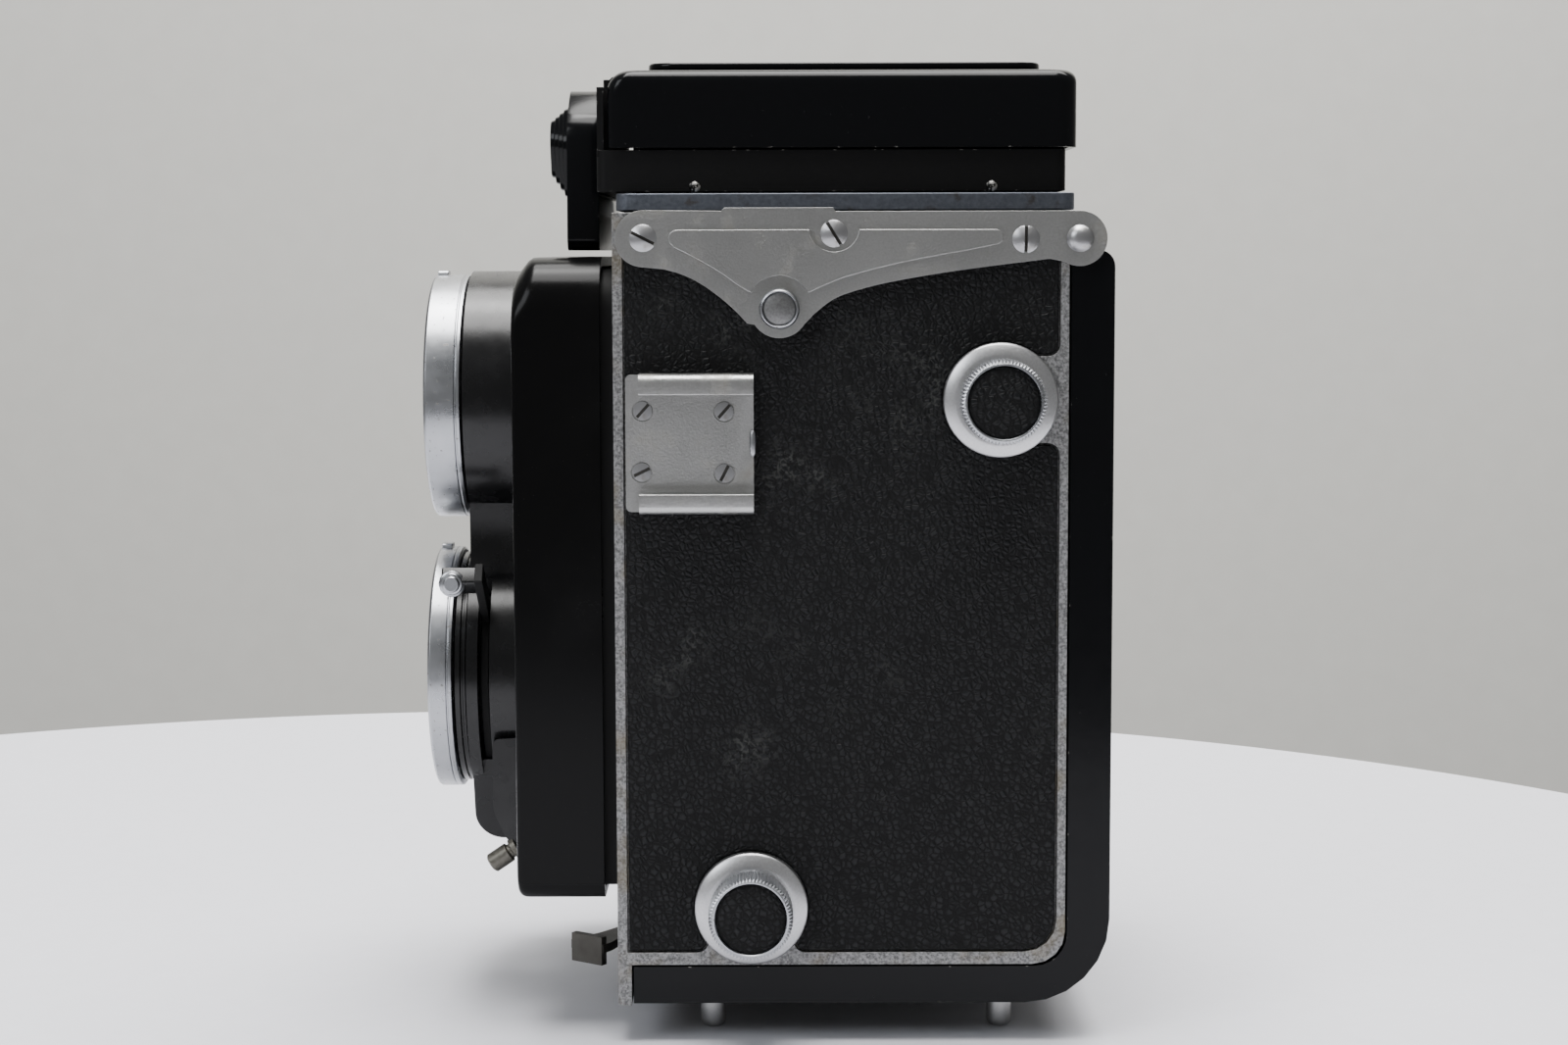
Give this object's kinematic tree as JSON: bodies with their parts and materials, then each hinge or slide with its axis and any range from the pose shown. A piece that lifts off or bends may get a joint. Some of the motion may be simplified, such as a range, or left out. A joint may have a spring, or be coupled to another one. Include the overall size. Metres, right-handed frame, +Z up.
{
  "type": "twin lens reflex camera",
  "caption": "Upright box camera with one lens above another, a folding waist-level hood, a hinged back and floor, side spool knobs, a winding crank and an accessory shoe.",
  "frame": {"origin": "under the middle of the camera's bounding box, on the surface its four feet stand on", "axes": "+Z up; -Y is the way the lenses look; +X is the side with the spool knobs and the accessory shoe"},
  "size_m": [0.1022, 0.1064, 0.1495],
  "materials": {
    "grey_alloy": "light grey paint on a die casting",
    "black_alloy": "satin black paint on a die casting",
    "black_enamel": "gloss black enamel on sheet metal, chipped at the edges",
    "leatherette": "fine pebble grain",
    "chrome": "polished, with fine turning marks",
    "nickel": "satin nickel plate",
    "steel": "satin",
    "brass": "tarnished",
    "glass": "coated optical glass",
    "mirror": "front silvered",
    "black_plastic": "matt"
  },
  "bodies": {
    "casing": {"body_casting": "grey_alloy", "left_leatherette": "leatherette", "right_leatherette": "leatherette", "left_bracket": "nickel", "right_bracket": "nickel", "left_strap_stud": "chrome", "right_strap_stud": "chrome", "left_hinge_pin": "nickel", "right_hinge_pin": "nickel", "accessory_shoe": "nickel", "upper_spool_flange": "chrome", "lower_spool_flange": "chrome", "front_light_frame": "black_alloy", "reflex_mirror": "mirror", "focusing_screen": "glass", "hood_base_plate": "steel", "hood_frame": "black_enamel", "hood_catch": "chrome", "front_nameplate": "black_enamel", "front_badge": "chrome", "crank_collar": "chrome", "focus_pivot_screw": "steel"},
    "front_standard": {"lens_board": "black_alloy", "lens_housing": "black_alloy", "viewing_lens_ring": "chrome", "viewing_lens_glass": "glass", "taking_lens_ring": "chrome", "taking_lens_glass": "glass", "shutter_case": "black_alloy", "rear_lens_element": "glass", "flash_terminal": "brass"},
    "speed_lever": {"speed_lever": "chrome"},
    "aperture_lever": {"aperture_lever": "chrome"},
    "release_button": {"release_button": "chrome"},
    "focus_lever": {"focus_lever": "nickel"},
    "upper_spool_pin": {"upper_spool_pin": "steel"},
    "upper_spool_knob": {"upper_spool_knob": "chrome"},
    "lower_spool_pin": {"lower_spool_pin": "steel"},
    "lower_spool_knob": {"lower_spool_knob": "chrome"},
    "take_up": {"take_up_spool": "black_plastic", "take_up_key": "steel"},
    "crank": {"crank_arm": "chrome"},
    "crank_grip": {"crank_grip": "chrome"},
    "door": {"back_door": "black_enamel", "back_leatherette": "leatherette", "pressure_plate": "black_enamel", "left_front_foot": "nickel", "left_rear_foot": "nickel", "right_front_foot": "nickel", "right_rear_foot": "nickel", "tripod_socket": "chrome"},
    "latch_ring": {"latch_ring": "chrome"},
    "latch_bolt": {"latch_bolt": "steel"},
    "lid": {"hood_lid": "black_enamel", "finder_panel": "black_enamel"},
    "left_panel": {"left_hood_panel": "black_enamel"},
    "right_panel": {"right_hood_panel": "black_enamel"},
    "rear_panel": {"rear_hood_panel": "black_enamel"},
    "magnifier": {"magnifier_frame": "black_enamel", "magnifier_lens": "glass"}
  },
  "joints": [
    {"name": "front_slide", "type": "slide", "parent": "casing", "child": "front_standard", "axis": [0, -1, 0], "range_m": [0, 0.0061]},
    {"name": "focus_turn", "type": "hinge", "parent": "casing", "child": "focus_lever", "pos_m": [0.0028, -0.01565, 0.009], "axis": [0, 0, -1], "range_deg": [0, 110]},
    {"name": "speed_turn", "type": "hinge", "parent": "front_standard", "child": "speed_lever", "pos_m": [0.0028, -0.04485, 0.0526], "axis": [0, 1, 0], "range_deg": [0, 66]},
    {"name": "aperture_turn", "type": "hinge", "parent": "front_standard", "child": "aperture_lever", "pos_m": [0.0028, -0.04235, 0.0526], "axis": [0, -1, 0], "range_deg": [0, 66]},
    {"name": "release_press", "type": "slide", "parent": "front_standard", "child": "release_button", "axis": [0, 1, 0], "range_m": [0, 0.003], "stiffness_N_per_m": 300},
    {"name": "upper_pin_pull", "type": "slide", "parent": "casing", "child": "upper_spool_pin", "axis": [1, 0, 0], "range_m": [0, 0.008]},
    {"name": "upper_knob_turn", "type": "hinge", "parent": "upper_spool_pin", "child": "upper_spool_knob", "pos_m": [0.0478, 0.03615, 0.09865], "axis": [1, 0, 0], "continuous": true},
    {"name": "lower_pin_pull", "type": "slide", "parent": "casing", "child": "lower_spool_pin", "axis": [1, 0, 0], "range_m": [0, 0.008]},
    {"name": "lower_knob_turn", "type": "hinge", "parent": "lower_spool_pin", "child": "lower_spool_knob", "pos_m": [0.0478, -0.0015, 0.02125], "axis": [1, 0, 0], "continuous": true},
    {"name": "crank_turn", "type": "hinge", "parent": "casing", "child": "crank", "pos_m": [-0.0402, 0.01905, 0.08], "axis": [-1, 0, 0], "range_deg": [0, 270]},
    {"name": "grip_turn", "type": "hinge", "parent": "crank", "child": "crank_grip", "pos_m": [-0.0422, 0.01905, 0.059], "axis": [-1, 0, 0], "continuous": true},
    {"name": "take_up_turn", "type": "hinge", "parent": "casing", "child": "take_up", "pos_m": [0.0028, -0.0015, 0.02125], "axis": [-1, 0, 0], "range_deg": [0, 360]},
    {"name": "door_swing", "type": "hinge", "parent": "casing", "child": "door", "pos_m": [0.0028, 0.0478, 0.1227], "axis": [1, 0, 0], "range_deg": [0, 100]},
    {"name": "latch_turn", "type": "hinge", "parent": "door", "child": "latch_ring", "pos_m": [0.0028, 0.01405, 0.004], "axis": [0, 0, 1], "range_deg": [0, 90]},
    {"name": "latch_slide", "type": "slide", "parent": "door", "child": "latch_bolt", "axis": [0, 1, 0], "range_m": [0, 0.003]},
    {"name": "lid_open", "type": "hinge", "parent": "casing", "child": "lid", "pos_m": [0.0028, -0.02235, 0.147], "axis": [1, 0, 0], "range_deg": [0, 90]},
    {"name": "right_panel_rise", "type": "hinge", "parent": "casing", "child": "right_panel", "pos_m": [0.0355, 0.00805, 0.1311], "axis": [0, 1, 0], "range_deg": [0, 90]},
    {"name": "left_panel_rise", "type": "hinge", "parent": "casing", "child": "left_panel", "pos_m": [-0.0299, 0.00805, 0.1311], "axis": [0, -1, 0], "range_deg": [0, 90]},
    {"name": "rear_panel_rise", "type": "hinge", "parent": "casing", "child": "rear_panel", "pos_m": [0.0028, 0.04345, 0.1327], "axis": [-1, 0, 0], "range_deg": [0, 90]},
    {"name": "magnifier_swing", "type": "hinge", "parent": "lid", "child": "magnifier", "pos_m": [0.0028, 0.00865, 0.1449], "axis": [1, 0, 0], "range_deg": [-90, 0]}
  ],
  "couplings": [
    {"joint": "focus_turn", "follows": "front_slide", "rad_per_m": 314.7},
    {"joint": "take_up_turn", "follows": "crank_turn", "ratio": 1.3333},
    {"joint": "latch_slide", "follows": "latch_turn", "m_per_rad": 0.0019},
    {"joint": "right_panel_rise", "follows": "lid_open", "ratio": 1},
    {"joint": "left_panel_rise", "follows": "lid_open", "ratio": 1},
    {"joint": "rear_panel_rise", "follows": "lid_open", "ratio": 1},
    {"joint": "magnifier_swing", "follows": "lid_open", "ratio": -1}
  ]
}
